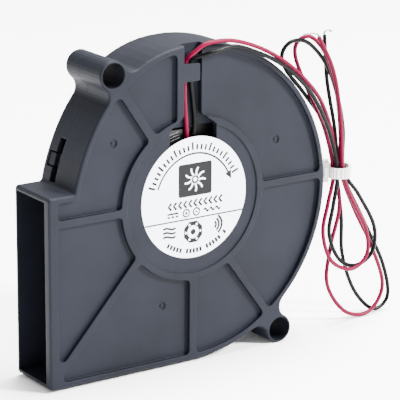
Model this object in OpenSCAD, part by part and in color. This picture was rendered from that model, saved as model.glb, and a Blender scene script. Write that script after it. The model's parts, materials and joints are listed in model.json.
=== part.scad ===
// DC blower fan with a flat scroll casing, standing on its edge.
// The label side faces -Y, the outlet -X, and the rotor turns about Y.
// Every piece is drawn lying down, front face up, about the rotor axis,
// and stand() then sets it upright on the ground plane.

/* [Casing] */
// Depth from the rear mounting face to the front face
casing_depth = 15; // [14:0.5:20]
// Depth of the rear cover, from the mounting face to the seam
cover_depth = 6.1; // [5.5:0.1:7]
// Thickness of the side walls
wall = 1.15; // [0.9:0.05:1.5]
// Thickness of the front plate at its ribs
front_plate = 1.95; // [1.7:0.05:2.2]
// Thickness of the rear cover's plate
rear_plate = 0.8; // [0.6:0.05:1]
// Radius of the rounded front and rear edges
edge_round = 0.45; // [0.2:0.05:0.6]
// Height of the rotor axis above the flat foot
foot_drop = 39.2; // [38.5:0.1:40]
// Scroll radius at its top, above the rotor
scroll_top_r = 36.2; // [35.5:0.1:37]
// How much the scroll tightens towards the outlet's tongue
tongue_drop = 3.9; // [3:0.1:4.2]
// Distance from the rotor axis to the outlet's mouth
outlet_reach = 38.5; // [37.5:0.5:45]
// Outside height of the outlet duct
outlet_h = 45; // [43:0.5:46]

/* [Mounting bosses] */
// Radius of the two screw holes
hole_r = 2.9; // [2.1:0.1:2.95]
// Outside radius of the bosses
boss_r = 3.45; // [3.3:0.05:4]
// Radius of the fillets between bosses and scroll
boss_fillet = 3; // [2.5:0.1:3.5]
// Spacing of the screw holes, across
hole_dx = 46.5; // [46:0.1:47]
// Spacing of the screw holes, upwards
hole_dy = 67.9; // [67.5:0.1:68.5]
// Lower hole, to the right of the rotor axis
lower_hole_x = 25; // [24.5:0.1:25.5]
// Lower hole, below the rotor axis
lower_hole_drop = 36.3; // [36:0.1:36.8]

/* [Front plate] */
// Depth of the pockets between the ribs
pocket_depth = 1; // [0.6:0.05:1.2]
// Width of the ribs between the pockets
rib_w = 1.7; // [1.2:0.1:2.2]
// Width of the rim outside the pockets
rim_w = 1.3; // [1:0.1:1.8]
// Width of the rim along the outlet
outlet_rim_w = 2.3; // [1.6:0.1:3]
// Radius of the round centre, where the pockets begin
hub_rim_r = 19.4; // [19.2:0.1:20.5]
// Radius of the recess that holds the label
recess_r = 17.9; // [16.5:0.1:18.5]
// Depth of that recess
recess_depth = 0.3; // [0.2:0.05:0.4]
// Corner radius of the pockets
pocket_round = 1.1; // [0.9:0.1:1.3]
// Radius of the moulding dimples in the pockets
dimple_r = 1; // [0.7:0.1:1.3]

/* [Lead channel] */
// Width of the channel that the leads leave through
channel_w = 5.4; // [5:0.1:6]
// Depth of the channel below the front face
channel_depth = 2.5; // [2.3:0.05:2.7]
// Thickness of the channel's floor
channel_floor_t = 0.7; // [0.5:0.05:0.8]
// Width of the opening beside the label
window_w = 12.9; // [12:0.1:14]
// Length of the retaining tab across the channel
tab_l = 4.3; // [3.8:0.1:4.6]
// Width of that tab
tab_w = 4.1; // [3.5:0.1:4.6]
// Thickness of that tab
tab_t = 1; // [0.8:0.05:1.2]

/* [Snap catches] */
// Width of each catch around the scroll, in degrees
catch_sweep = 6.4; // [5:0.2:7]
// Thickness of the spring arms
catch_arm = 0.75; // [0.6:0.05:0.9]
// Height of the windows that the catches hook into
catch_h = 2.7; // [2.2:0.1:3]
// Height of the gap that each arm shows through
relief_h = 2.3; // [1.8:0.1:2.6]

/* [Impeller] */
// Radius of the air inlet
inlet_r = 24; // [23:0.2:25]
// Outside radius of the blades
blade_r = 28; // [27:0.2:28.2]
// Inside radius of the blades
blade_in_r = 22.8; // [22:0.2:24]
// Number of blades
blade_n = 33; // [25:2:37]
// Thickness of the blades
blade_t = 0.7; // [0.5:0.05:0.8]
// Thickness of the disc that carries the blades
disc_t = 0.8; // [0.6:0.05:1]
// Outside radius of the hub
hub_r = 15.2; // [14.9:0.1:15.6]
// Gap between the turning parts and the casing
run_gap = 0.6; // [0.5:0.05:0.8]
// Depth of the hub's face below the mounting face
hub_sink = 1.2; // [1:0.1:1.5]

/* [Motor] */
// Radius of the shaft
shaft_r = 1; // [0.8:0.05:1.2]
// Radial running clearance of the shaft in its bearing
bearing_gap = 0.03; // [0.02:0.01:0.06]
// Outside radius of the bearing sleeve
sleeve_r = 2.5; // [2.3:0.05:2.6]
// Outside radius of the bearing tube
tube_r = 3.5; // [3.3:0.05:3.7]
// Outside radius of the steel yoke
yoke_r = 14; // [13.7:0.05:14.2]
// Thickness of the steel yoke
yoke_t = 0.9; // [0.7:0.05:1]
// Thickness of the magnet ring
magnet_t = 1.5; // [1.2:0.05:1.6]
// Air gap between magnet ring and stator
air_gap = 0.4; // [0.3:0.05:0.5]
// Height of the laminated core
core_h = 4; // [3.5:0.1:4.2]
// Width of each pole's neck
pole_w = 3; // [2.6:0.1:3.4]
// Thickness of the insulators
insulator_t = 0.9; // [0.7:0.05:1]
// Thickness of the winding over the insulators
coil_t = 0.85; // [0.7:0.05:0.9]
// Radius of the circuit board
board_r = 12.6; // [12:0.1:13]
// Thickness of the circuit board
board_t = 0.8; // [0.6:0.1:1]
// Radius of the label
label_r = 14.4; // [14:0.1:15]
// Thickness of the label
label_t = 0.15; // [0.1:0.01:0.2]

/* [Leads] */
// Outside diameter of each lead
lead_d = 1; // [0.9:0.05:1.1]
// Diameter of the tinned strands at the ends
strand_d = 0.5; // [0.4:0.05:0.6]
// Width of the cable tie's strap
tie_w = 2.6; // [2.4:0.1:3]
// Thickness of the strap
tie_t = 0.6; // [0.4:0.05:0.8]

/* [Hidden] */
$fn = 72;

// Overshoot of a cut beyond the face that it opens
cut = 0.5;
// Gap between pieces that are pressed or glued together
part_gap = 0.02;
// Gap left at the seam between the two halves of the casing
seam_gap = 0.06;
// Largest step along an arc, in degrees
arc_step = 4;

// Places, measured from the rotor axis and seen from the front
lower_hole = [lower_hole_x, -lower_hole_drop];
upper_hole = lower_hole + [-hole_dx, hole_dy];
ledge_y = outlet_h - foot_drop;
spiral_a = 97;       // the scroll is narrowest-curved at this angle, and grows both ways
spiral_sweep = 163;  // sweep over which the scroll grows from there to the foot
tongue_sweep = 68;   // sweep over which it tightens towards the tongue
tongue_a = 180 - asin(ledge_y / (scroll_top_r - tongue_drop));
tongue_in_r = scroll_top_r - tongue_drop - wall;
tongue_in_a = 180 - asin((ledge_y - wall) / tongue_in_r);
corner_round = 0.8;  // radius in the corners of the outlet duct

// Levels, measured forwards from the mounting face
plate_back = casing_depth - front_plate;
channel_floor = casing_depth - channel_depth;
channel_back = channel_floor - channel_floor_t;
disc_front = channel_back - run_gap;
disc_back = disc_front - disc_t;
blade_back = rear_plate + 1.8 * run_gap;
hub_end_t = 1;
yoke_back = hub_sink + hub_end_t + part_gap;
yoke_front = disc_back;
coil_gap = 0.45;
core_back = yoke_back + yoke_t + coil_gap + coil_t + insulator_t;
core_front = core_back + core_h;
board_gap = 0.5;
board_back = disc_front + board_gap;
board_front = board_back + board_t;
tube_back = core_back - insulator_t + part_gap;
recess_floor = casing_depth - recess_depth;
label_front = recess_floor + label_t;

// Radii of the motor
magnet_r = yoke_r - yoke_t - part_gap;
magnet_in_r = magnet_r - magnet_t;
core_r = magnet_in_r - air_gap;
bush_r = 2.2;
pole_n = 4;
pole_a = 45;         // angle of the first pole
shoe_t = 1.3;        // thickness of the pole shoes
pin_r = 0.3;
pin_ring_r = core_r - shoe_t / 2 - 0.15;
clip_z = board_front + 0.3;
clip_t = 0.4;
washer_t = 0.3;
axial_gap = 0.08;    // end float between bush, washers and sleeve
sleeve_back = tube_back + part_gap;
sleeve_front = clip_z - washer_t - 2 * axial_gap;
bush_front = sleeve_back - washer_t - 2 * axial_gap;

// Angles of the snap catches; the first is between the outlet and the upper boss
catch_a = [159.5, 30, -25];
catch_low = 1.25;    // height of the lower edge of each catch's window
relief_sweep = 18.4; // sweep of the gap that each arm shows through
relief_z = cover_depth - relief_h / 2;

function polar(r, a) = [r * cos(a), r * sin(a)];
function along(c, r, a) = c + polar(r, a);
function heading(p) = atan2(p[1], p[0]);
function circuit(a) = a - 360 * floor(a / 360);
function ease(t) = (1 - cos(180 * min(1, t))) / 2;

// Radius of the scroll's outside at angle a
function scroll_r(a) =
    a > spiral_a ? scroll_top_r - tongue_drop * ease((a - spiral_a) / tongue_sweep)
    : scroll_top_r + (foot_drop - scroll_top_r) * pow(min(1, (spiral_a - a) / spiral_sweep), 1.5);

// Points along the scroll from angle a to angle b, moved inwards by d
function scroll_pts(a, b, d = 0) =
    let (n = ceil(abs(b - a) / arc_step))
    [for (i = [0:n]) let (t = a + (b - a) * i / n) polar(scroll_r(t) - d, t)];

// Points along an arc of any size
function arc_pts(c, r, a, b, step) =
    let (n = ceil(abs(b - a) / step))
    [for (i = [0:n]) along(c, r, a + (b - a) * i / n)];

// Centre of the fillet between the scroll and the boss at c; side is -1 before it, +1 after it
function fillet_turn(c, r) =
    let (d = norm(c), e = r + boss_fillet)
    acos((d * d + e * e - pow(boss_r + boss_fillet, 2)) / (2 * d * e));
function fillet_r(c, side) =
    scroll_r(heading(c) + side * fillet_turn(c, scroll_r(heading(c))));
function fillet_a(c, side) = heading(c) + side * fillet_turn(c, fillet_r(c, side));
function fillet_c(c, side) = polar(fillet_r(c, side) + boss_fillet, fillet_a(c, side));

// Outline of a boss with its two fillets, from scroll to scroll
function boss_pts(c) =
    let (
        f = fillet_c(c, -1), g = fillet_c(c, 1),
        fa = heading(-f), fb = heading(c - f), ga = heading(c - g), gb = heading(-g),
        ba = heading(f - c), bb = heading(g - c)
    )
    concat(
        arc_pts(f, boss_fillet, fb + circuit(fa - fb), fb, 15),
        arc_pts(c, boss_r, ba, ba + circuit(bb - ba), 15),
        arc_pts(g, boss_fillet, gb + circuit(ga - gb), gb, 15)
    );

// Direction in which an outline turns at point i, and its corners rounded with radius r
function turn(p, i) =
    let (n = len(p), u = p[i] - p[(i + n - 1) % n], v = p[(i + 1) % n] - p[i],
        t = heading(v) - heading(u))
    t > 180 ? t - 360 : t < -180 ? t + 360 : t;
function rounded(p, r, least = 20) =
    [for (i = [0:len(p) - 1])
        let (t = turn(p, i), n = len(p))
        if (abs(t) < least) p[i]
        else
            let (u = p[i] - p[(i + n - 1) % n], h = heading(u), s = sign(t),
                q = p[i] - polar(r * tan(abs(t) / 2), h), c = q + polar(r, h + s * 90),
                k = ceil(abs(t) / 18))
            for (j = [0:k]) along(c, r, h - s * 90 + t * j / k)
    ];

// An outline moved inwards by d, for outlines that run anticlockwise
function inset(p, d) =
    [for (i = [0:len(p) - 1])
        let (n = len(p), u = p[i] - p[(i + n - 1) % n], h = heading(u) + turn(p, i) / 2)
        p[i] + polar(d / cos(turn(p, i) / 2), h + 90)
    ];

// Points without those that lie on their neighbour
function tidy(p) = [for (i = [0:len(p) - 1]) if (norm(p[i] - p[(i + 1) % len(p)]) > 0.02) p[i]];

// Outline of the casing, anticlockwise from the lower corner of the outlet
casing_outline = rounded(tidy(concat(
    [[-outlet_reach, -foot_drop]],
    scroll_pts(-90, fillet_a(lower_hole, -1)),
    boss_pts(lower_hole),
    scroll_pts(fillet_a(lower_hole, 1), fillet_a(upper_hole, -1)),
    boss_pts(upper_hole),
    scroll_pts(fillet_a(upper_hole, 1), tongue_a),
    [[-outlet_reach, ledge_y]]
)), corner_round, 40);

// Outline of the air space inside the casing, open at the outlet
mouth_cut = 3;       // it runs on past the outlet's mouth
air_outline = rounded(tidy(concat(
    [[-outlet_reach - mouth_cut, -foot_drop + wall]],
    scroll_pts(-90, tongue_in_a, wall),
    [[-outlet_reach - mouth_cut, ledge_y - wall]]
)), corner_round, 40);

// The standing pose: origin under the middle of the casing
axis_x = -(min([for (p = casing_outline) p[0]]) + max([for (p = casing_outline) p[0]])) / 2;
axis_z = -min([for (p = casing_outline) p[1]]);
module stand() {
    translate([axis_x, casing_depth / 2, axis_z]) rotate([90, 0, 0]) children();
}

// Ribs of the front plate: direction from the centre, sideways offset to the left, width.
// The pockets lie between them, and two borders at the lead channel have no width of their own.
ribs = [
    [0, 0.4, rib_w - 0.2],                                    // right
    [90, 2 - channel_w / 2, 0],                               // right: the pocket opens into the channel
    [90, channel_w / 2 + rib_w + 0.15, 0],                    // left side of the lead channel
    [heading(upper_hole), 0.3, rib_w + 0.4],                  // to the upper boss
    [180, 0.5, rib_w],                                        // left
    [228.2, -2.95, rib_w + 0.15],                             // to the outlet's lower corner
    [270, 0, rib_w + 0.15],                                   // down
    [heading(lower_hole) + 361.7, -1.3, rib_w]                // to the lower boss
];
pocket_left = -outlet_reach + outlet_rim_w;
pocket_low = -foot_drop + rim_w + 0.1;
pocket_ledge = ledge_y - rim_w;
pocket_tongue_a = 180 - asin(pocket_ledge / (scroll_top_r - tongue_drop - rim_w));
boss_rim_r = scroll_r(ribs[7][0] - 360) - rim_w;  // the rim's inner radius at the lower boss

// Angle at which one side of a rib crosses the radius r; side is +1 on its left, -1 on its right
function rib_a(i, side, r) = ribs[i][0] + asin((ribs[i][1] + side * ribs[i][2] / 2) / r);
// Point on that side of the rib at the given x or y
function rib_at_x(i, side, x) =
    let (a = ribs[i][0], e = ribs[i][1] + side * ribs[i][2] / 2)
    [x, (e + x * sin(a)) / cos(a)];
function rib_at_y(i, side, y) =
    let (a = ribs[i][0], e = ribs[i][1] + side * ribs[i][2] / 2)
    [(y * cos(a) - e) / sin(a), y];

// Border of a pocket along the hub, from rib j back to rib i
function hub_side(i, j) = arc_pts([0, 0], hub_rim_r, rib_a(j, -1, hub_rim_r), rib_a(i, 1, hub_rim_r), 6);
// Border of a pocket along the scroll, from rib i to rib j
function rim_side(i, j) =
    let (r = scroll_r(ribs[i][0]) - rim_w, s = scroll_r(ribs[j][0]) - rim_w)
    scroll_pts(rib_a(i, 1, r), rib_a(j, -1, s), rim_w);

pockets = [
    concat(rim_side(0, 1), hub_side(0, 1)),
    concat(rim_side(2, 3), hub_side(2, 3)),
    concat(
        scroll_pts(rib_a(3, 1, scroll_r(ribs[3][0]) - rim_w), pocket_tongue_a, rim_w),
        [[pocket_left, pocket_ledge], rib_at_x(4, -1, pocket_left)],
        hub_side(3, 4)
    ),
    concat([rib_at_x(4, 1, pocket_left), rib_at_x(5, -1, pocket_left)], hub_side(4, 5)),
    concat(
        [rib_at_y(5, 1, pocket_low), rib_at_y(6, -1, pocket_low)],
        hub_side(5, 6)
    ),
    concat(
        [rib_at_y(6, 1, pocket_low)],
        scroll_pts(-84, rib_a(7, -1, boss_rim_r) - 360, rim_w + 0.1),
        hub_side(6, 7)
    ),
    concat(
        scroll_pts(rib_a(7, 1, boss_rim_r) - 360, rib_a(0, -1, scroll_r(0) - rim_w), rim_w),
        arc_pts([0, 0], hub_rim_r, rib_a(0, -1, hub_rim_r), rib_a(7, 1, hub_rim_r) - 360, 6)
    )
];
dimples = [polar(26, 24), polar(26.4, 143), polar(26, 252)];

// Opening of the lead channel and of the window beside the label, anticlockwise
window_low = label_r - 2.4;
window_top = hub_rim_r - 2.4;
shelf_y = window_top - 0.3;      // the channel's floor ends here, above the circuit board
channel_end = scroll_top_r + 5;
channel_opening = rounded([
    [window_w / 2, window_low], [window_w / 2, window_top], [channel_w / 2, hub_rim_r + 0.2],
    [channel_w / 2, channel_end], [-channel_w / 2, channel_end],
    [-channel_w / 2, hub_rim_r + 0.3], [-window_w / 2, window_top], [-window_w / 2, window_low]
], 1.4);
tab_y = 27.7;                    // lower edge of the retaining tab
trough_wall = 0.8;

// Strip that follows the scroll's wall from angle a to b, between the depths d0 and d1 below its outside
function strip(a, b, d0, d1) = concat(scroll_pts(a, b, d0), scroll_pts(b, a, d1));

module at_level(z) { translate([0, 0, z]) children(); }

module slab(outline, z0, z1) { at_level(z0) linear_extrude(z1 - z0) polygon(outline); }

module screw_bores() {
    for (h = [lower_hole, upper_hole])
        translate([h[0], h[1], -cut]) cylinder(r = hole_r, h = casing_depth + 2 * cut);
}

module relief_gaps() {
    for (a = catch_a)
        slab(strip(a - relief_sweep / 2, a + relief_sweep / 2, -cut, wall + 0.3),
            relief_z - relief_h / 2, relief_z + relief_h / 2);
}

// Band that takes the sharp edge off the casing at the level z; side is +1 for a front edge
module edge_cutter(z, side) {
    e = edge_round;
    // Two bevels, each run on past the faces that it meets: [depth below the outline, height above z]
    profile = [
        [-0.4 * e, -1.95 * e], [0.3 * e, -0.3 * e], [1.5 * e, 0.22 * e],
        [1.5 * e, e], [-e, e], [-e, -1.95 * e]
    ];
    n = len(casing_outline);
    k = len(profile);
    points = [for (q = profile) for (p = inset(casing_outline, q[0])) [p[0], p[1], z + side * q[1]]];
    faces = [for (l = [0:k - 1]) for (i = [0:n - 1])
        let (a = l * n, b = (l + 1) % k * n, j = (i + 1) % n)
        side > 0 ? [a + i, a + j, b + j, b + i] : [b + i, b + j, a + j, a + i]];
    polyhedron(points, faces, convexity = 10);
}

module pocket(outline) {
    slab(rounded(tidy(outline), pocket_round), casing_depth - pocket_depth, casing_depth + cut);
}

module dimple(c) {
    floor_z = casing_depth - pocket_depth;
    translate([c[0], c[1], floor_z]) difference() {
        at_level(-0.25) cylinder(r = dimple_r, h = 1);
        at_level(-0.25) cylinder(r = dimple_r * 0.35, h = 0.2);
    }
}

// Spring arm that reaches past the seam, with the barb that fills its window in the cover
module catch(a) {
    half = catch_sweep / 2;
    inner = wall + 0.1 + catch_arm;
    slab(strip(a - half + 0.6, a + half - 0.6, wall + 0.1, inner), catch_low - 0.1, plate_back);
    slab(strip(a - half + 0.6, a + half - 0.6, 0.2, inner), catch_low + 0.15, catch_low + catch_h - 0.15);
    slab(strip(a - half + 0.6, a + half - 0.6, wall / 2, inner), relief_z + relief_h / 2 + 0.3, plate_back);
}

module front_frame() {
    color([0.30, 0.31, 0.35]) stand() {
        difference() {
            union() {
                difference() {
                    slab(casing_outline, cover_depth + seam_gap / 2, casing_depth);
                    edge_cutter(casing_depth, 1);
                    slab(air_outline, cover_depth - cut, plate_back);
                    relief_gaps();
                }
                // Trough that carries the lead channel's floor
                intersection() {
                    slab(inset(channel_opening, -trough_wall), channel_back, plate_back + 0.1);
                    translate([-window_w, shelf_y, channel_back - cut])
                        cube([2 * window_w, scroll_top_r - wall / 2 - shelf_y, casing_depth]);
                }
                // Bearing tube
                at_level(tube_back) cylinder(r = tube_r, h = plate_back - tube_back + 0.1);
                for (a = catch_a) catch(a);
            }
            for (p = pockets) pocket(p);
            for (c = dimples) dimple(c);
            at_level(recess_floor) cylinder(r = recess_r, h = 1, $fn = 120);
            slab(channel_opening, channel_floor, casing_depth + cut);
            at_level(tube_back - cut) cylinder(r = sleeve_r + part_gap, h = casing_depth);
            screw_bores();
        }
        // Tab that keeps the leads in their channel
        slab(rounded([
            [-channel_w / 2 - cut, tab_y], [-channel_w / 2 + tab_l, tab_y],
            [-channel_w / 2 + tab_l, tab_y + tab_w], [-channel_w / 2 - cut, tab_y + tab_w]
        ], 0.45), casing_depth - tab_t, casing_depth);
    }
}

inlet_chamfer = 0.5;
module rear_cover() {
    color([0.26, 0.27, 0.31]) stand() {
        difference() {
            union() {
                difference() {
                    slab(casing_outline, 0, cover_depth - seam_gap / 2);
                    edge_cutter(0, -1);
                    slab(air_outline, rear_plate, cover_depth + cut);
                }
                // Raised lip round the air inlet
                cylinder(r = inlet_r + 1, h = rear_plate + 0.45, $fn = 120);
            }
            // Air inlet with a chamfered edge
            rotate_extrude($fn = 120) polygon([
                [0, -cut], [inlet_r + inlet_chamfer + cut, -cut], [inlet_r, inlet_chamfer],
                [inlet_r, rear_plate + 3 * cut], [0, rear_plate + 3 * cut]
            ]);
            for (a = catch_a)
                slab(strip(a - catch_sweep / 2, a + catch_sweep / 2, -cut, wall + 0.3),
                    catch_low, catch_low + catch_h);
            relief_gaps();
            screw_bores();
        }
    }
}

module label() {
    color([0.93, 0.93, 0.95]) stand()
        translate([0.3, 0.3, recess_floor]) cylinder(r = label_r, h = label_t, $fn = 120);
}

// Forward-curved blade, as seen from the front: the rotor turns clockwise
blade_sweep = 9;
blade_bend = 4.5;
ring_t = 0.9;
ring_h = 0.8;
function blade_outline() =
    let (
        p = polar(blade_in_r, 0), q = polar(blade_r - 0.5, -blade_sweep),
        u = (q - p) / norm(q - p),
        c = (p + q) / 2 + [u[1], -u[0]] * sqrt(pow(blade_bend, 2) - pow(norm(q - p) / 2, 2)),
        a = heading(p - c), b = heading(q - c)
    )
    concat(arc_pts(c, blade_bend + blade_t / 2, a, b, 16), arc_pts(c, blade_bend - blade_t / 2, b, a, 16));

module impeller() {
    hub_in_r = yoke_r + part_gap;
    draft = 0.4;
    color([0.13, 0.13, 0.14]) stand() {
        // Hub and disc in one turned profile
        rotate_extrude($fn = 120) polygon([
            [0, hub_sink], [hub_r - draft - 1, hub_sink], [hub_r - draft - 0.3, hub_sink + 0.3],
            [hub_r - draft, hub_sink + 1], [hub_r, disc_back - 0.6], [hub_r + 0.6, disc_back],
            [blade_r, disc_back], [blade_r, disc_front - 0.2], [blade_r - 0.2, disc_front],
            [hub_in_r, disc_front], [hub_in_r, hub_sink + hub_end_t], [0, hub_sink + hub_end_t]
        ]);
        at_level(blade_back) {
            linear_extrude(disc_back + 0.1 - blade_back)
                for (i = [0:blade_n - 1]) rotate(360 * i / blade_n) polygon(blade_outline());
            // Ring that ties the blade tips together at the inlet
            rotate_extrude($fn = 120) polygon([
                [blade_r - ring_t, 0], [blade_r, 0], [blade_r, ring_h], [blade_r - ring_t, ring_h]
            ]);
        }
    }
}

module rotor_yoke() {
    color([0.62, 0.62, 0.64]) stand() at_level(yoke_back) rotate_extrude($fn = 120) polygon([
        [bush_r + part_gap, 0], [yoke_r - 0.6, 0], [yoke_r, 0.6], [yoke_r, yoke_front - yoke_back],
        [yoke_r - yoke_t, yoke_front - yoke_back], [yoke_r - yoke_t, yoke_t], [bush_r + part_gap, yoke_t]
    ]);
}

module magnet_ring() {
    color([0.22, 0.20, 0.19]) stand() at_level(core_back - 0.8) difference() {
        cylinder(r = magnet_r, h = core_h + 1.4, $fn = 120);
        at_level(-cut) cylinder(r = magnet_in_r, h = core_h + 3, $fn = 120);
    }
}

shaft_back = yoke_back + 0.05;
shaft_front = clip_z + clip_t + 0.6;
groove_r = shaft_r * 0.72;
module shaft() {
    color([0.80, 0.81, 0.83]) stand() rotate_extrude() polygon([
        [0, shaft_back], [shaft_r, shaft_back], [shaft_r, clip_z - part_gap], [groove_r, clip_z - part_gap],
        [groove_r, clip_z + clip_t + part_gap], [shaft_r, clip_z + clip_t + part_gap],
        [shaft_r, shaft_front - 0.2], [shaft_r - 0.2, shaft_front], [0, shaft_front]
    ]);
}

module shaft_bush() {
    color([0.78, 0.66, 0.36]) stand() at_level(yoke_back) difference() {
        cylinder(r = bush_r, h = bush_front - yoke_back);
        at_level(-cut) cylinder(r = shaft_r + part_gap, h = 2 * (bush_front - yoke_back));
    }
}

module retaining_clip() {
    color([0.86, 0.86, 0.84]) stand() at_level(clip_z) difference() {
        cylinder(r = 1.9 * shaft_r, h = clip_t);
        at_level(-cut) cylinder(r = groove_r + part_gap, h = 2);
        translate([0, -groove_r * 0.8, -cut]) cube([3 * shaft_r, 1.6 * groove_r, 2]);
    }
}

module bearing_sleeve() {
    color([0.66, 0.52, 0.30]) stand() at_level(sleeve_back) difference() {
        cylinder(r = sleeve_r, h = sleeve_front - sleeve_back);
        at_level(-cut) cylinder(r = shaft_r + bearing_gap, h = sleeve_front);
    }
}

module thrust_washers() {
    color([0.90, 0.88, 0.80]) stand()
        for (z = [bush_front + axial_gap, sleeve_front + axial_gap]) at_level(z) difference() {
            cylinder(r = sleeve_r - 0.3, h = washer_t);
            at_level(-cut) cylinder(r = shaft_r + 0.08, h = 2);
        }
}

// Wedge of the given half angle about the X axis, for cutting pole shoes and flanges
module wedge(half, z0, z1) {
    r = 1.5 * core_r;
    slab([[0, 0], polar(r, -half), polar(r, half)], z0, z1);
}
shoe_half = 36;

// Arc over each pole between the radii r0 and r1
module pole_arcs(r0, r1, half, z0, z1) {
    for (i = [0:pole_n - 1]) rotate([0, 0, pole_a + 90 * i]) intersection() {
        at_level(z0) difference() {
            cylinder(r = r1, h = z1 - z0);
            at_level(-cut) cylinder(r = r0, h = z1 - z0 + 2 * cut);
        }
        wedge(half, z0 - cut, z1 + cut);
    }
}

// Pole necks of width w, from the hub out to the radius r
module pole_necks(w, r, z0, z1) {
    start = core_hub_r - 0.6;
    for (i = [0:pole_n - 1]) rotate([0, 0, pole_a + 90 * i]) translate([start, -w / 2, z0])
        cube([r - start, w, z1 - z0]);
}

core_hub_r = 5.2;
module core_sheet() {
    difference() {
        circle(core_hub_r);
        circle(tube_r + part_gap);
    }
    for (i = [0:pole_n - 1]) rotate(pole_a + 90 * i) {
        translate([core_hub_r - 0.6, -pole_w / 2]) square([core_r - shoe_t / 2 - core_hub_r + 0.6, pole_w]);
        polygon(concat(
            arc_pts([0, 0], core_r, -shoe_half, shoe_half, arc_step),
            arc_pts([0, 0], core_r - shoe_t, shoe_half, -shoe_half, arc_step)
        ));
    }
}
module stator_core() {
    color([0.55, 0.56, 0.58]) stand() at_level(core_back) linear_extrude(core_h) core_sheet();
}

// Half width of the insulated pole neck, which the coils are wound on
neck_half = pole_w / 2 + 0.35;
coil_half = neck_half + 1.9;

module insulator(z0, z1, flange_z, collar_z) {
    low = min(z0, flange_z);
    high = max(z1, flange_z);
    difference() {
        union() {
            at_level(min(z0, collar_z))
                cylinder(r = core_hub_r - 0.1, h = max(z1, collar_z) - min(z0, collar_z));
            pole_necks(2 * neck_half - 0.1, core_r - shoe_t / 2, z0, z1);
            pole_arcs(core_r - shoe_t, core_r - 0.15, shoe_half - 3, low, high);
        }
        at_level(z0 - 5) cylinder(r = tube_r + part_gap, h = 12);
        if (z1 > core_front)
            for (i = [0:pole_n - 1]) rotate([0, 0, pole_a + 90 * i])
                translate([pin_ring_r, 0, core_front + 0.3]) cylinder(r = pin_r + part_gap, h = 6, $fn = 24);
    }
}

module front_insulator() {
    color([0.90, 0.88, 0.82]) stand()
        insulator(core_front + part_gap, core_front + insulator_t - part_gap,
            core_front + insulator_t + coil_t - 0.05, board_back - part_gap);
}

module rear_insulator() {
    color([0.90, 0.88, 0.82]) stand()
        insulator(core_back - insulator_t + part_gap, core_back - part_gap,
            core_back - insulator_t - coil_t + 0.05, core_back - insulator_t + part_gap);
}

module stator_coils() {
    x0 = core_hub_r + 0.7;
    x1 = sqrt(pow(core_r - shoe_t, 2) - pow(coil_half, 2)) - 0.1;  // clear of the curved shoes
    low = core_back - insulator_t;
    high = core_front + insulator_t;
    function box(h, a, b) = [[h, a], [h, b], [-h, b], [-h, a]];
    color([0.72, 0.38, 0.18]) stand()
        for (i = [0:pole_n - 1]) rotate([0, 0, pole_a + 90 * i]) translate([x0, 0, 0])
            rotate([90, 0, 90]) difference() {
                linear_extrude(x1 - x0) polygon(rounded(box(coil_half, low - coil_t, high + coil_t), 1.2));
                at_level(-cut) linear_extrude(x1 - x0 + 2 * cut) polygon(box(neck_half, low, high));
            }
}

module winding_pins() {
    color([0.80, 0.78, 0.72]) stand()
        for (i = [0:pole_n - 1]) rotate([0, 0, pole_a + 90 * i])
            translate([pin_ring_r, 0, core_front + 0.35])
                cylinder(r = pin_r, h = board_front + 0.35 - core_front - 0.35, $fn = 24);
}

// Tongue of the circuit board that carries the solder joints of the leads
tongue_x = [-window_w / 2 + 0.2, 1.6];
tongue_y = shelf_y - 0.5;
module circuit_board() {
    color([0.16, 0.34, 0.20]) stand() difference() {
        union() {
            at_level(board_back) cylinder(r = board_r, h = board_t);
            translate([tongue_x[0], 0, board_back]) cube([tongue_x[1] - tongue_x[0], tongue_y, board_t]);
        }
        at_level(board_back - cut) cylinder(r = tube_r + 0.15, h = board_t + 2 * cut);
        for (i = [0:pole_n - 1]) rotate([0, 0, pole_a + 90 * i])
            translate([pin_ring_r, 0, board_back - cut])
                cylinder(r = pin_r + part_gap, h = board_t + 2 * cut, $fn = 24);
    }
}

// Body of an electronic part on the back of the board
module board_part(a, l, w, h) {
    rotate([0, 0, a]) translate([8.6 - l / 2, -w / 2, board_back - part_gap - h]) cube([l, w, h]);
}

module driver_chip() { color([0.10, 0.10, 0.11]) stand() board_part(0, 1.6, 3, 1.1); }
module hall_sensor() { color([0.12, 0.12, 0.13]) stand() board_part(180, 1.5, 2.9, 1); }
module board_capacitor() { color([0.62, 0.50, 0.36]) stand() board_part(270, 1.2, 2, 0.8); }

// Joints that the leads are soldered to
joint_r = 0.6;
joint_h = 0.5;
joint_x = [-0.6, 1];
joint_y = window_low + joint_r + 0.3;
module solder_joints() {
    color([0.75, 0.76, 0.78]) stand()
        for (x = joint_x) translate([x, joint_y, board_front + part_gap])
            cylinder(r1 = joint_r, r2 = joint_r / 2, h = joint_h, $fn = 32);
}

// A place given from the rotor axis, on the standing fan
function upright(p) = [axis_x + p[0], casing_depth / 2 - p[2], axis_z + p[1]];

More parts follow.
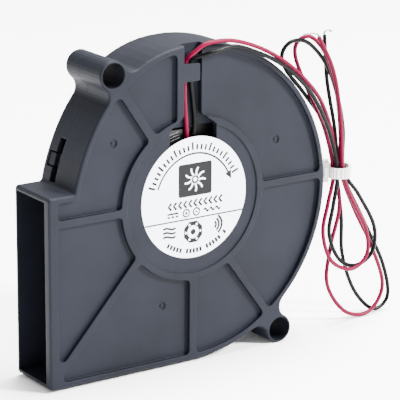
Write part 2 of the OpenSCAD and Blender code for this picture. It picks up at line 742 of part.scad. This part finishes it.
// Route of each lead from its joint, up the channel and under the tab, to where it leaves the casing
lead_r = lead_d / 2;
lead_rest = lead_r + part_gap;   // height of a lead's centre above what it lies on
tab_top = tab_y + tab_w;
joint_end = joint_y + joint_r + part_gap;
red_inside = [for (p = [
    [joint_x[0], joint_end, board_front + lead_rest], [-0.8, shelf_y + 1, channel_floor + lead_rest],
    [-1.3, 23, channel_floor + lead_rest + 0.1], [-1.4, tab_y, channel_floor + lead_rest + 0.2],
    [-1.3, tab_top - 0.8, channel_floor + lead_rest + 0.3],
    [-0.96, tab_top + 0.8, channel_floor + lead_rest + 0.4]
]) upright(p)];
black_inside = [for (p = [
    [joint_x[1], joint_end, board_front + lead_rest], [1.5, shelf_y + 1, channel_floor + lead_rest],
    [1, 22.5, channel_floor + lead_rest + 0.05], [0.25, tab_y, channel_floor + lead_rest + 0.1],
    [0.2, tab_top - 0.8, channel_floor + lead_rest + 0.3],
    [0.34, tab_top + 0.8, channel_floor + lead_rest + 0.4]
]) upright(p)];

// Routes of the free leads: over the rim to the cable tie, then down and up through it in two
// loops below and one above, to the bare ends. One row runs from one pass of the tie to the next.
red_free = [
    [0.4, -7.4, 74], [3.5, -8.4, 76], [10, -8.4, 75.9], [17.5, -8.1, 73.5], [25, -7.3, 69.5],
    [32, -6.3, 64.2], [38.5, -5, 57.3], [43.9, -2.8, 47.5],
    [46.2, -1.3, 38.4], [47.5, -1.5, 29], [45, -1.5, 19], [43.8, -2.1, 9.8], [48.8, -3.1, 2.2],
    [56.3, -3.1, 0.9], [61, -2.3, 6.8], [57.8, -1.5, 17.2], [51, -2.6, 28.5],
    [46.6, -3, 38.4], [46, -3.1, 48], [44.5, -3.1, 58.5], [41.2, -2.9, 68], [37.8, -1.6, 72.3],
    [34.6, -0.8, 71.6], [34, -0.5, 68], [36.8, -1.2, 60.5], [42, -2, 49.5],
    [44.8, -2.2, 38.4], [43, -2.8, 31], [41, -3.6, 24], [43.5, -3.8, 16.5], [49.8, -3.8, 13.2],
    [54.6, -3.8, 16.2], [54, -3.8, 23], [49.5, -3.9, 31],
    [46.3, -4.2, 38.4], [45, -4.4, 52], [42.5, -4.4, 64], [38, -4.3, 72.8]
];
black_free = [
    [1.9, -7.2, 72.9], [4.6, -9, 73.9], [10.5, -8.7, 74.6], [17, -8.7, 72.4], [23.5, -8.6, 69.1],
    [29.5, -8, 64.6], [35.5, -6.8, 58.3], [41.5, -4.9, 48.8],
    [45.2, -3.4, 38.4], [44.3, -3.1, 30], [43.5, -2.8, 23], [46.8, -2.7, 16], [52, -2.7, 13.5],
    [57, -2.7, 16], [57.5, -2.7, 22.7], [52.5, -2.6, 31.5],
    [47.7, -2.5, 38.4], [47.6, -2.1, 48.5], [46, -1.8, 56.5], [42.5, -1.6, 65], [36.6, -2.1, 71.1],
    [31.9, -2, 72], [29.5, -1.4, 69.4], [31, -0.8, 65.2], [36.8, -0.4, 58.6], [43.3, -0.1, 50],
    [46.9, -0.1, 38.4], [49, -0.3, 26.5], [49.5, -0.4, 16.5], [53, -1, 6.5], [58.5, -1.9, 0.8],
    [63.3, -1.6, 3.3], [62, -0.8, 12], [55.5, -0.6, 24.5],
    [47.8, -1.2, 38.4], [45.7, -0.9, 50], [43.5, -0.6, 61], [42.7, -0.3, 72]
];

// A route with one more point between each two, on a smooth curve through them all
function smooth(p) = let (n = len(p)) [for (i = [0:2 * n - 2])
    let (k = floor(i / 2), b = p[k], c = p[min(k + 1, n - 1)],
        a = k > 0 ? p[k - 1] : 2 * b - c, d = k < n - 2 ? p[k + 2] : 2 * c - b)
    i % 2 == 0 ? b : (9 * (b + c) - a - d) / 16];
function unit(v) = v / norm(v);
function tangent(p, i) = unit(p[min(i + 1, len(p) - 1)] - p[max(i - 1, 0)]);
// Direction across a route at each of its points, carried along without twist
function across(p) = [for (i = 0, t = tangent(p, 0), u = unit(cross(t, [0.6, 0.7, 0.4])); i < len(p);
    i = i + 1, t = tangent(p, i), u = unit(u - (u * t) * t)) u];

// Tube round the points of a route, from one of them to another
tube_sides = 8;
module tube(p, r, first, last) {
    u = across(p);
    rings = last - first;
    points = [for (i = [first:last]) let (t = tangent(p, i), v = cross(t, u[i]))
        for (j = [0:tube_sides - 1]) let (a = 360 * j / tube_sides) p[i] + r * (cos(a) * u[i] + sin(a) * v)];
    sides = [for (i = [0:rings - 1]) for (j = [0:tube_sides - 1])
        let (a = i * tube_sides + j, b = i * tube_sides + (j + 1) % tube_sides, d = tube_sides)
        for (f = [[a, a + d, b + d], [a, b + d, b]]) f];
    polyhedron(points, concat(
        [[for (j = [0:tube_sides - 1]) j]], sides,
        [[for (j = [tube_sides - 1:-1:0]) rings * tube_sides + j]]
    ), convexity = 10);
}
red_path = smooth(concat(red_inside, red_free));
black_path = smooth(concat(black_inside, black_free));
red_exit = 2 * len(red_inside) - 2;
black_exit = 2 * len(black_inside) - 2;

module red_lead_entry() { color([0.80, 0.16, 0.38]) tube(red_path, lead_r, 0, red_exit); }
module black_lead_entry() { color([0.15, 0.15, 0.16]) tube(black_path, lead_r, 0, black_exit); }
module red_lead() { color([0.80, 0.16, 0.38]) tube(red_path, lead_r, red_exit, len(red_path) - 1); }
module black_lead() { color([0.15, 0.15, 0.16]) tube(black_path, lead_r, black_exit, len(black_path) - 1); }

// Tinned strands that stick out of each lead's end; steps are the moves along them
module strands(path, steps) {
    n = len(path);
    t = unit(path[n - 1] - path[n - 2]);
    a = path[n - 1] + part_gap * t;
    color([0.80, 0.80, 0.82])
        tube(concat([a, a + 0.6 * t], [for (s = steps) a + s]), strand_d / 2, 0, len(steps) + 1);
}
module red_lead_end() { strands(red_path, [[-1.3, 0, 0.9], [-2.8, 0, 1.1], [-4.4, 0, 1.1]]); }
module black_lead_end() { strands(black_path, [[0.6, -0.1, 1.1], [1.3, -0.2, 1.1], [1.9, -0.2, 0.5]]); }

// Cable tie round the bundle
tie_at = [46.6, -2.2, 38.4];
tie_turn = -34;
tie_half = [2.3, 2.8];          // half the inner size of the loop
tie_teeth = 26;
tooth_h = 0.15;
tie_head = [1.6, 4.2, 4.8];
tail_l = 0.7;
function tie_outline(d, n) = [for (i = [0:n - 1]) let (a = 360 * i / n, c = cos(a), s = sin(a))
    [sign(c) * (tie_half[0] + d) * pow(abs(c), 0.7), sign(s) * (tie_half[1] + d) * pow(abs(s), 0.7)]
        - polar(i % 2 == 0 || d == 0 ? 0 : tooth_h, a)];
module cable_tie() {
    color([0.90, 0.89, 0.88]) translate(tie_at) rotate([0, 0, tie_turn]) {
        translate([0, 0, -tie_w / 2]) linear_extrude(tie_w) difference() {
            polygon(tie_outline(tie_t, 2 * tie_teeth));
            polygon(tie_outline(0, 2 * tie_teeth));
        }
        // Head, and the cut end of the strap that comes out of it
        translate([-tie_half[0] - tie_t / 2 - tie_head[0], -tie_head[1] / 2, -tie_head[2] / 2])
            cube(tie_head);
        translate([-tie_half[0] - tie_head[0] / 2 - tie_t, -tie_head[1] / 2 - tail_l, -tie_w / 2])
            cube([tie_t, tie_head[1], tie_w]);
    }
}

front_frame();
rear_cover();
label();
impeller();
rotor_yoke();
magnet_ring();
shaft();
shaft_bush();
retaining_clip();
bearing_sleeve();
thrust_washers();
stator_core();
front_insulator();
rear_insulator();
stator_coils();
winding_pins();
circuit_board();
driver_chip();
hall_sensor();
board_capacitor();
solder_joints();
red_lead_entry();
black_lead_entry();
red_lead();
black_lead();
red_lead_end();
black_lead_end();
cable_tie();
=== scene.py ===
import json
import math

import bmesh
import bpy
from mathutils import Matrix, Vector


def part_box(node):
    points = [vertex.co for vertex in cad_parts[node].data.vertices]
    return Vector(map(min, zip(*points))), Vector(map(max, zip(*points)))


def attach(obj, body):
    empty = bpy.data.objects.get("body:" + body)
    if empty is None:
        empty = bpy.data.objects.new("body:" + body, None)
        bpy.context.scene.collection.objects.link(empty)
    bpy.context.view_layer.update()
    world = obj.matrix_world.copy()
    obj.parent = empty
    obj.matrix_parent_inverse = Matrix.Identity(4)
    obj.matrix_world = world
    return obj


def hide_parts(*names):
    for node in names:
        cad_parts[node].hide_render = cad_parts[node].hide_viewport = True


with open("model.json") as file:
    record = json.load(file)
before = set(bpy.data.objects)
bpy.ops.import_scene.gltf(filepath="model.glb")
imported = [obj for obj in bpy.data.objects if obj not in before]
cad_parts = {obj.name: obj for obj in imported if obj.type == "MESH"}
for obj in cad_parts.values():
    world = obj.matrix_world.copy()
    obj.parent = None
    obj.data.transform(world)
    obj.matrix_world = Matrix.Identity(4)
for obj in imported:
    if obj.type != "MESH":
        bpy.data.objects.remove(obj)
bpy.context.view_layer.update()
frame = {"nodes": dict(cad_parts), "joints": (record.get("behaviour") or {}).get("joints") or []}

MM = 0.001
AXIS = Vector(frame["joints"][0]["pos_m"])      # a point on the rotor's axis; the fan faces -Y


# ---- Camera, at the photograph's angle ----

CAMERA_AZIMUTH, CAMERA_ELEVATION, CAMERA_ROLL = -34.294, 16.102, 0.3686     # degrees
CAMERA_AIM = Vector((2.232, -7.5, 39.202)) * MM
CAMERA_DISTANCE = 0.529
CAMERA_LENS, CAMERA_SENSOR = 207, 36                                        # mm


def add_camera():
    azimuth, elevation = math.radians(CAMERA_AZIMUTH), math.radians(CAMERA_ELEVATION)
    roll = math.radians(CAMERA_ROLL)
    right = Vector((math.cos(azimuth), math.sin(azimuth), 0))
    level = math.cos(elevation)
    back = Vector((math.sin(azimuth) * level, -math.cos(azimuth) * level, math.sin(elevation)))
    up = back.cross(right)
    turned = math.cos(roll) * right + math.sin(roll) * up
    lens = bpy.data.cameras.new("camera")
    lens.sensor_width = CAMERA_SENSOR
    lens.lens = CAMERA_LENS
    lens.clip_start, lens.clip_end = 0.02, 50
    camera = bpy.data.objects.new("camera", lens)
    bpy.context.scene.collection.objects.link(camera)
    axes = Matrix((turned, back.cross(turned), back)).transposed()
    camera.matrix_world = Matrix.Translation(CAMERA_AIM + CAMERA_DISTANCE * back) @ axes.to_4x4()
    bpy.context.scene.camera = camera


add_camera()


# ---- Node-based materials ----

NOISE_LOW, NOISE_HIGH = 0.3, 0.7        # most of the noise lies between these
NOISE_ROUGHNESS = 0.55
ROUGHNESS_SWING = 0.05                  # change of roughness over the grain, each way
EDGE_SAMPLES = 6

def linear(rgb):
    """A colour given as 8-bit sRGB values, for a shader's socket."""
    return [
        (v / 255 / 12.92 if v <= 10 else ((v / 255 + 0.055) / 1.055) ** 2.4) for v in rgb
    ] + [1.0]


def noise(tree, scale, detail=3.0):
    """Three-dimensional noise in the piece's own space; scale is in waves per metre."""
    where = tree.nodes.new("ShaderNodeTexCoord")
    node = tree.nodes.new("ShaderNodeTexNoise")
    node.inputs["Scale"].default_value = scale
    node.inputs["Detail"].default_value = detail
    node.inputs["Roughness"].default_value = NOISE_ROUGHNESS
    tree.links.new(where.outputs["Object"], node.inputs["Vector"])
    return node.outputs["Fac"]


def spread(tree, value, low, high):
    node = tree.nodes.new("ShaderNodeMapRange")
    node.inputs["From Min"].default_value = NOISE_LOW
    node.inputs["From Max"].default_value = NOISE_HIGH
    node.inputs["To Min"].default_value = low
    node.inputs["To Max"].default_value = high
    tree.links.new(value, node.inputs["Value"])
    return node.outputs["Result"]


def two_tone(tree, value, dark, light):
    node = tree.nodes.new("ShaderNodeValToRGB")
    node.color_ramp.elements[0].position = NOISE_LOW
    node.color_ramp.elements[0].color = dark
    node.color_ramp.elements[1].position = NOISE_HIGH
    node.color_ramp.elements[1].color = light
    tree.links.new(value, node.inputs["Fac"])
    return node.outputs["Color"]


def finish_of(name, dark, light, rough, mottle=80, grain=4000, depth=0.004, soft_edge=0.0, sockets=None):
    """Material whose colour varies over the mottle, with a fine grain; depth and soft_edge are in mm."""
    material = bpy.data.materials.new(name)
    material.use_nodes = True
    tree = material.node_tree
    shader = tree.nodes["Principled BSDF"]
    mottled = noise(tree, mottle)
    tree.links.new(two_tone(tree, mottled, linear(dark), linear(light)), shader.inputs["Base Color"])
    fine = noise(tree, grain, 2.0)
    uneven = spread(tree, fine, rough - ROUGHNESS_SWING, rough + ROUGHNESS_SWING)
    tree.links.new(uneven, shader.inputs["Roughness"])
    bump = tree.nodes.new("ShaderNodeBump")
    bump.inputs["Strength"].default_value = 1
    bump.inputs["Distance"].default_value = depth * MM
    tree.links.new(fine, bump.inputs["Height"])
    if soft_edge:
        edge = tree.nodes.new("ShaderNodeBevel")
        edge.samples = EDGE_SAMPLES
        edge.inputs["Radius"].default_value = soft_edge * MM
        tree.links.new(edge.outputs["Normal"], bump.inputs["Normal"])
    tree.links.new(bump.outputs["Normal"], shader.inputs["Normal"])
    for socket, value in (sockets or {}).items():
        shader.inputs[socket].default_value = value
    return material


def dress(node, material):
    """Gives a carried-over CAD node its material."""
    mesh = frame["nodes"][node].data
    mesh.materials.clear()
    mesh.materials.append(material)


casing = finish_of(
    "casing", (7, 9, 16), (14, 16, 24), 0.58, mottle=70, grain=2600, depth=0.009, soft_edge=0.32,
    sockets={"Specular IOR Level": 0.1}
)
red_pvc = finish_of(
    "red_pvc", (80, 0, 30), (88, 0, 34), 0.4, grain=2500, depth=0.003, sockets={"Specular IOR Level": 0.06}
)
black_pvc = finish_of(
    "black_pvc", (3, 3, 3), (4, 4, 4), 0.34, grain=2500, depth=0.003, sockets={"Specular IOR Level": 0.07}
)
tinned = finish_of(
    "tinned", (176, 176, 182), (206, 206, 212), 0.3, grain=5000, depth=0.002, sockets={"Metallic": 1}
)
paper = finish_of("label_film", (226, 229, 240), (232, 235, 244), 0.42, mottle=200, grain=900, depth=0.001)
ink = finish_of(
    "label_ink", (10, 10, 12), (14, 14, 16), 0.5, mottle=900, grain=4000, depth=0.001,
    sockets={"Specular IOR Level": 0.1}
)
nylon = finish_of(
    "tie_nylon", (196, 190, 186), (222, 218, 220), 0.3, mottle=500, grain=1100, depth=0.03, soft_edge=0.08,
    sockets={"Subsurface Weight": 0.25, "Subsurface Scale": 0.0006}
)


# ---- Leads: the routes of part.scad, on the standing fan, in mm ----

RED_INSIDE = [
    (-0.139, -5.52, 53.251), (-0.339, -5.52, 57.431), (-0.839, -5.62, 62.731),
    (-0.939, -5.72, 67.431), (-0.839, -5.82, 70.731), (-0.499, -5.92, 72.331),
]
BLACK_INSIDE = [
    (1.461, -5.52, 53.251), (1.961, -5.52, 57.431), (1.461, -5.57, 62.231),
    (0.711, -5.62, 67.431), (0.661, -5.82, 70.731), (0.801, -5.92, 72.331),
]
RED_FREE = [
    (0.4, -7.4, 74), (3.5, -8.4, 76), (10, -8.4, 75.9), (17.5, -8.1, 73.5), (25, -7.3, 69.5),
    (32, -6.3, 64.2), (38.5, -5, 57.3), (43.9, -2.8, 47.5),
    (46.2, -1.3, 38.4), (47.5, -1.5, 29), (45, -1.5, 19), (43.8, -2.1, 9.8), (48.8, -3.1, 2.2),
    (56.3, -3.1, 0.9), (61, -2.3, 6.8), (57.8, -1.5, 17.2), (51, -2.6, 28.5),
    (46.6, -3, 38.4), (46, -3.1, 48), (44.5, -3.1, 58.5), (41.2, -2.9, 68), (37.8, -1.6, 72.3),
    (34.6, -0.8, 71.6), (34, -0.5, 68), (36.8, -1.2, 60.5), (42, -2, 49.5),
    (44.8, -2.2, 38.4), (43, -2.8, 31), (41, -3.6, 24), (43.5, -3.8, 16.5), (49.8, -3.8, 13.2),
    (54.6, -3.8, 16.2), (54, -3.8, 23), (49.5, -3.9, 31),
    (46.3, -4.2, 38.4), (45, -4.4, 52), (42.5, -4.4, 64), (38, -4.3, 72.8),
]
BLACK_FREE = [
    (1.9, -7.2, 72.9), (4.6, -9, 73.9), (10.5, -8.7, 74.6), (17, -8.7, 72.4), (23.5, -8.6, 69.1),
    (29.5, -8, 64.6), (35.5, -6.8, 58.3), (41.5, -4.9, 48.8),
    (45.2, -3.4, 38.4), (44.3, -3.1, 30), (43.5, -2.8, 23), (46.8, -2.7, 16), (52, -2.7, 13.5),
    (57, -2.7, 16), (57.5, -2.7, 22.7), (52.5, -2.6, 31.5),
    (47.7, -2.5, 38.4), (47.6, -2.1, 48.5), (46, -1.8, 56.5), (42.5, -1.6, 65), (36.6, -2.1, 71.1),
    (31.9, -2, 72), (29.5, -1.4, 69.4), (31, -0.8, 65.2), (36.8, -0.4, 58.6), (43.3, -0.1, 50),
    (46.9, -0.1, 38.4), (49, -0.3, 26.5), (49.5, -0.4, 16.5), (53, -1, 6.5), (58.5, -1.9, 0.8),
    (63.3, -1.6, 3.3), (62, -0.8, 12), (55.5, -0.6, 24.5),
    (47.8, -1.2, 38.4), (45.7, -0.9, 50), (43.5, -0.6, 61), (42.7, -0.3, 72),
]
LEAD_R = 0.5 * MM
STRAND_R = 0.075 * MM
STRAND_COUNT = 8
ROUTE_STEPS = 8             # straight steps between two points of a lead's route
STRAND_STEPS = 5


def smooth(points, steps):
    """Catmull-Rom curve through the points, as the CAD source draws them."""
    p = [2 * points[0] - points[1], *points, 2 * points[-1] - points[-2]]
    found = []
    for a, b, c, d in zip(p, p[1:], p[2:], p[3:]):
        for k in range(steps):
            t = k / steps
            found.append(0.5 * (
                2 * b + (c - a) * t + (2 * a - 5 * b + 4 * c - d) * t * t + (3 * b - a - 3 * c + d) * t ** 3
            ))
    return found + [points[-1]]


def line(name, runs, radius, material):
    """Round curve with one open spline for each run of points, on the casing's body."""
    data = bpy.data.curves.new(name, "CURVE")
    data.dimensions = "3D"
    data.bevel_depth = radius
    data.bevel_resolution = 3
    data.use_fill_caps = True
    for run in runs:
        spline = data.splines.new("POLY")
        spline.points.add(len(run) - 1)
        for point, place in zip(spline.points, run):
            point.co = (*place, 1)
        spline.use_smooth = True
    data.materials.append(material)
    piece = bpy.data.objects.new(name, data)
    bpy.context.scene.collection.objects.link(piece)
    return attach(piece, "casing")


def strands(name, steps, path, material, splay):
    """Bare strands that go on from a lead's end and part towards their tips; steps and splay in mm."""
    along = (path[-1] - path[-2]).normalized()
    start = path[-1] - 0.4 * MM * along
    middle = smooth(
        [start, start + 1.0 * MM * along, *(path[-1] + Vector(s) * MM for s in steps)], STRAND_STEPS
    )
    side = along.cross(Vector((0.3, 0.9, 0.2))).normalized()
    across = along.cross(side)
    runs = []
    for k in range(STRAND_COUNT):
        turn = 2 * math.pi * k / (STRAND_COUNT - 1)
        reach = 0.0 if k == STRAND_COUNT - 1 else 1.0
        run = []
        for i, place in enumerate(middle):
            share = i / (len(middle) - 1)
            out = reach * (0.16 + splay * share ** 2 * (0.6 + 0.4 * math.sin(5 * k))) * MM
            swing = turn + 2.6 * share
            run.append(place + out * (math.cos(swing) * side + math.sin(swing) * across))
        keep = len(run) - (k % 3)
        runs.append(run[:keep])
    return line(name, runs, STRAND_R, material)


def add_lead(colour, inside, free, steps, splay, material, strand_material):
    """One lead: the stretch in the channel, the free cord and its bare end, joined on one smooth route."""
    path = smooth([Vector(p) * MM for p in inside + free], ROUTE_STEPS)
    leave = ROUTE_STEPS * (len(inside) - 1)
    entry = line(colour + "_lead_in_channel", [path[:leave + 1]], LEAD_R, material)
    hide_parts(colour + "_lead_entry")
    cord = line(colour + "_lead_cord", [path[leave:]], LEAD_R, material)
    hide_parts(colour + "_lead")
    bare = strands(colour + "_lead_strands", steps, path, strand_material, splay)
    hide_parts(colour + "_lead_end")


strand_metal = finish_of("tinned_strand", (104, 104, 108), (140, 140, 144), 0.35, grain=5000, depth=0.002,
                        sockets={"Metallic": 1})
add_lead(
    "red", RED_INSIDE, RED_FREE, [(-1.3, 0, 0.9), (-2.8, 0, 1.1), (-4.4, 0, 1.1)], 0.35, red_pvc, strand_metal
)
add_lead(
    "black", BLACK_INSIDE, BLACK_FREE, [(0.6, -0.1, 1.1), (1.3, -0.2, 1.1), (1.9, -0.2, 0.5)], 0.2,
    black_pvc, strand_metal
)
dress("cable_tie", nylon)


# ---- Casing ----

dress("front_frame", casing)
dress("rear_cover", casing)


# ---- Label, with a generic print ----

dress("label", paper)
LABEL_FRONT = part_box("label")[0].y
LABEL_MIDDLE = Vector((AXIS.x + 0.3 * MM, 0, AXIS.z + 0.3 * MM))


def arc(radius, start, end, step=4.0, middle=(0, 0)):
    count = max(1, math.ceil(abs(end - start) / step))
    turns = [math.radians(start + (end - start) * k / count) for k in range(count + 1)]
    return [(middle[0] + radius * math.cos(t), middle[1] + radius * math.sin(t)) for t in turns]


def arc_band(inner, outer, start, end, middle=(0, 0)):
    return arc(outer, start, end, middle=middle) + arc(inner, end, start, middle=middle)


def moved(shape, turn=0.0, by=(0, 0)):
    c, s = math.cos(math.radians(turn)), math.sin(math.radians(turn))
    return [(by[0] + c * x - s * y, by[1] + s * x + c * y) for x, y in shape]


def stroke(points, width):
    """Outline of an open line of the given width."""
    left, right = [], []
    for i, (x, y) in enumerate(points):
        ax, ay = points[max(i - 1, 0)]
        bx, by = points[min(i + 1, len(points) - 1)]
        size = math.hypot(bx - ax, by - ay)
        nx, ny = -(by - ay) / size * width / 2, (bx - ax) / size * width / 2
        left.append((x + nx, y + ny))
        right.append((x - nx, y - ny))
    return left + right[::-1]


def block(x0, x1, y0, y1):
    return [(x0, y0), (x1, y0), (x1, y1), (x0, y1)]


def printed(name, shapes, height, material):
    """A layer of print: flat outlines in mm about the label's middle, raised by height (mm) off the film."""
    bm = bmesh.new()
    for shape in shapes:
        levels = []
        for y in (LABEL_FRONT, LABEL_FRONT - height * MM):
            levels.append([
                bm.verts.new((LABEL_MIDDLE.x + px * MM, y, LABEL_MIDDLE.z + py * MM)) for px, py in shape
            ])
        bm.faces.new(levels[1])
        count = len(shape)
        for i in range(count):
            j = (i + 1) % count
            bm.faces.new((levels[0][i], levels[0][j], levels[1][j], levels[1][i]))
    bmesh.ops.recalc_face_normals(bm, faces=bm.faces)
    mesh = bpy.data.meshes.new(name)
    bm.to_mesh(mesh)
    bm.free()
    mesh.materials.append(material)
    piece = bpy.data.objects.new(name, mesh)
    bpy.context.scene.collection.objects.link(piece)
    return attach(piece, "casing")


def label_print():
    dark = []
    # Scale over an arrow that shows which way the rotor turns
    for k in range(25):
        turn = 162 - 5.8 * k
        reach = 13.2 if k % 4 == 0 else 12.6
        dark.append(moved(block(11.3, reach, -0.27, 0.27), turn))
    dark.append(arc_band(10.25, 10.7, 162, 27))
    dark.append(moved([(9.6, 0), (11.45, 0), (10.5, -2.1)], 27))
    # Emblem: an impeller on a rounded square
    corners = [(1, 1, 0), (-1, 1, 90), (-1, -1, 180), (1, -1, 270)]
    emblem = (0.2, 4.3)
    rounded = []
    for x, y, turn in corners:
        middle = (emblem[0] + 4.1 * x, emblem[1] + 3.4 * y)
        rounded += arc(0.5, turn, turn + 90, 18, middle)
    dark.append(rounded)
    light = []
    for k in range(9):
        blade = arc(1.9, 95, 190, 12, (2.6, -0.35))
        light.append(moved(stroke(blade, 0.42), 40 * k, emblem))
    light.append(arc(0.85, 0, 345, 15, emblem))
    # Row of chevrons towards the outlet, and a row of marks for direct current and polarity
    for k in range(11):
        dark.append(moved(stroke([(0.6, 0.85), (-0.2, 0), (0.6, -0.85)], 0.6), 0, (-6.9 + 1.4 * k, -1.35)))
    dark += [block(-7.4, -4.4, -3.3, -2.85)] + [block(x, x + 0.75, -4.05, -3.6) for x in (-7.4, -6.27, -5.15)]
    for x, plus in ((-2.2, True), (0.6, False)):
        dark.append(arc_band(0.68, 1.05, 0, 352, (x, -3.45)))
        dark.append(block(x - 0.42, x + 0.42, -3.6, -3.3))
        if plus:
            dark.append(block(x - 0.15, x + 0.15, -3.87, -3.6))
            dark.append(block(x - 0.15, x + 0.15, -3.3, -3.03))
    for x in (2.7, 4.3, 5.9):
        wave = [(x + 0.13 * i, -3.45 + 0.35 * math.sin(2 * math.pi * i / 10)) for i in range(11)]
        dark.append(stroke(wave, 0.45))
    # Line across, and three plain pictograms below it: air stream, bearing, sound
    dark.append(block(-13.5, 13.5, -5.14, -4.78))
    for k in range(3):
        wave = [(-8.6 + 0.35 * i, -6.5 - 1.0 * k + 0.22 * math.sin(2 * math.pi * i / 10)) for i in range(11)]
        dark.append(stroke(wave, 0.5))
    ring = (-0.3, -8.2)
    for k in range(8):
        a0, a1 = 45 * k + 22.5, 45 * k + 67.5
        outer = [(2.75 * math.cos(math.radians(a)), 2.75 * math.sin(math.radians(a))) for a in (a0, a1)]
        inner = arc(1.55, a1, a0)
        dark.append([(ring[0] + x, ring[1] + y) for x, y in outer + inner])
    for k in range(6):
        light.append(arc(0.28, 0, 330, 30, moved([(2.0, 0)], 60 * k, ring)[0]))
    dark.append(arc(0.7, 0, 345, 15, ring))
    for radius in (0.9, 1.7, 2.5):
        dark.append(arc_band(radius - 0.28, radius + 0.28, -55, 55, (5.2, -7.4)))
    # Row of short marks along the lower edge
    for k in range(19):
        if k % 6 != 5:
            dark.append(moved(block(12.2, 13.3, -0.32, 0.32), 236 + 4.2 * k))
    printed("label_print", dark, 0.012, ink)
    printed("label_print_light", light, 0.02, paper)


label_print()


# ---- Motor, impeller and board ----

dress("impeller", finish_of("impeller_plastic", (6, 6, 7), (9, 9, 11), 0.42, mottle=90, grain=3000,
                            depth=0.005, soft_edge=0.08, sockets={"Specular IOR Level": 0.1}))
dress("rotor_yoke", finish_of("yoke_steel", (150, 150, 154), (172, 172, 176), 0.32, mottle=500, grain=4000,
                              depth=0.003, sockets={"Metallic": 1}))
dress("magnet_ring", finish_of("magnet", (48, 45, 44), (58, 54, 52), 0.6, mottle=400, grain=5000, depth=0.01))
dress("shaft", finish_of("shaft_steel", (196, 197, 200), (210, 211, 214), 0.16, mottle=900, grain=6000,
                         depth=0.001, sockets={"Metallic": 1}))
brass = finish_of("brass", (190, 158, 84), (206, 172, 96), 0.28, mottle=700, grain=5000, depth=0.002,
                  sockets={"Metallic": 1})
dress("shaft_bush", brass)
dress("retaining_clip", finish_of("spring_steel", (120, 120, 124), (146, 146, 150), 0.3, mottle=900,
                                  sockets={"Metallic": 1}))
dress("bearing_sleeve", finish_of("sintered_bronze", (152, 118, 66), (178, 140, 84), 0.42, mottle=2500,
                                  grain=9000, depth=0.01, sockets={"Metallic": 1}))
dress("thrust_washers", finish_of("washer_plastic", (70, 62, 52), (84, 74, 62), 0.4, mottle=800))
dress("stator_core", finish_of("core_steel", (104, 106, 110), (128, 130, 134), 0.38, mottle=700, grain=5000,
                               depth=0.004, sockets={"Metallic": 1}))
natural = finish_of("natural_nylon", (206, 200, 180), (218, 212, 194), 0.45, mottle=250, grain=2500)
dress("front_insulator", natural)
dress("rear_insulator", natural)
dress("stator_coils", finish_of("copper_wire", (150, 70, 32), (190, 98, 50), 0.3, mottle=1500, grain=4500,
                                depth=0.03, sockets={"Metallic": 1}))
dress("winding_pins", tinned)
dress("circuit_board", finish_of("solder_mask", (5, 6, 6), (9, 11, 10), 0.3, mottle=600, grain=3000,
                                 depth=0.003, sockets={"Specular IOR Level": 0.2}))
black_epoxy = finish_of("black_epoxy", (6, 6, 7), (10, 10, 11), 0.45, mottle=800, grain=7000, depth=0.004,
                        sockets={"Specular IOR Level": 0.15})
dress("driver_chip", black_epoxy)
dress("hall_sensor", black_epoxy)
dress("board_capacitor", finish_of("ceramic", (150, 122, 88), (168, 138, 102), 0.35, mottle=900))
dress("solder_joints", finish_of("solder", (186, 188, 192), (210, 212, 216), 0.2, mottle=1200, grain=4000,
                                 depth=0.01, sockets={"Metallic": 1}))


def add_tracks():
    """Thin tinned tracks on the board's tongue, beside the red lead."""
    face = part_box("circuit_board")[0].y - 0.03 * MM
    runs = []
    for radius in (14.5, 15.2, 15.9):
        runs.append([
            Vector((AXIS.x + x * MM, face, AXIS.z + z * MM)) for x, z in arc(radius, 99, 113, 2)
        ])
    tracks = line("board_tracks", runs, 0.035 * MM, strand_metal)


add_tracks()


# ---- Floor and light ----

def add_floor():
    size = 8.0
    mesh = bpy.data.meshes.new("floor")
    corners = [(-size, -size), (size, -size), (size, size), (-size, size)]
    mesh.from_pydata([(x, y, -0.00002) for x, y in corners], [], [(0, 1, 2, 3)])
    floor = bpy.data.objects.new("floor", mesh)
    bpy.context.scene.collection.objects.link(floor)
    mesh.materials.append(finish_of(
        "floor", (250, 250, 250), (252, 252, 252), 0.7, mottle=5, grain=60, depth=0.01
    ))


def add_light(name, place, aim, size, power):
    data = bpy.data.lights.new(name, "AREA")
    data.shape = "DISK"
    data.size = size
    data.energy = power
    lamp = bpy.data.objects.new(name, data)
    bpy.context.scene.collection.objects.link(lamp)
    lamp.location = place
    lamp.rotation_mode = "QUATERNION"
    lamp.rotation_quaternion = (Vector(place) - Vector(aim)).to_track_quat("Z", "Y")


def add_world(strength):
    world = bpy.data.worlds.new("studio")
    world.use_nodes = True
    background = world.node_tree.nodes["Background"]
    background.inputs["Color"].default_value = (1, 1, 1, 1)
    background.inputs["Strength"].default_value = strength
    bpy.context.scene.world = world


add_floor()
add_light("key", (0.75, -0.85, 0.8), (0, 0, 0.03), 0.3, 105)
add_light("top", (0.25, 0.1, 1.1), (0, 0, 0.03), 0.6, 85)
add_world(1.4)
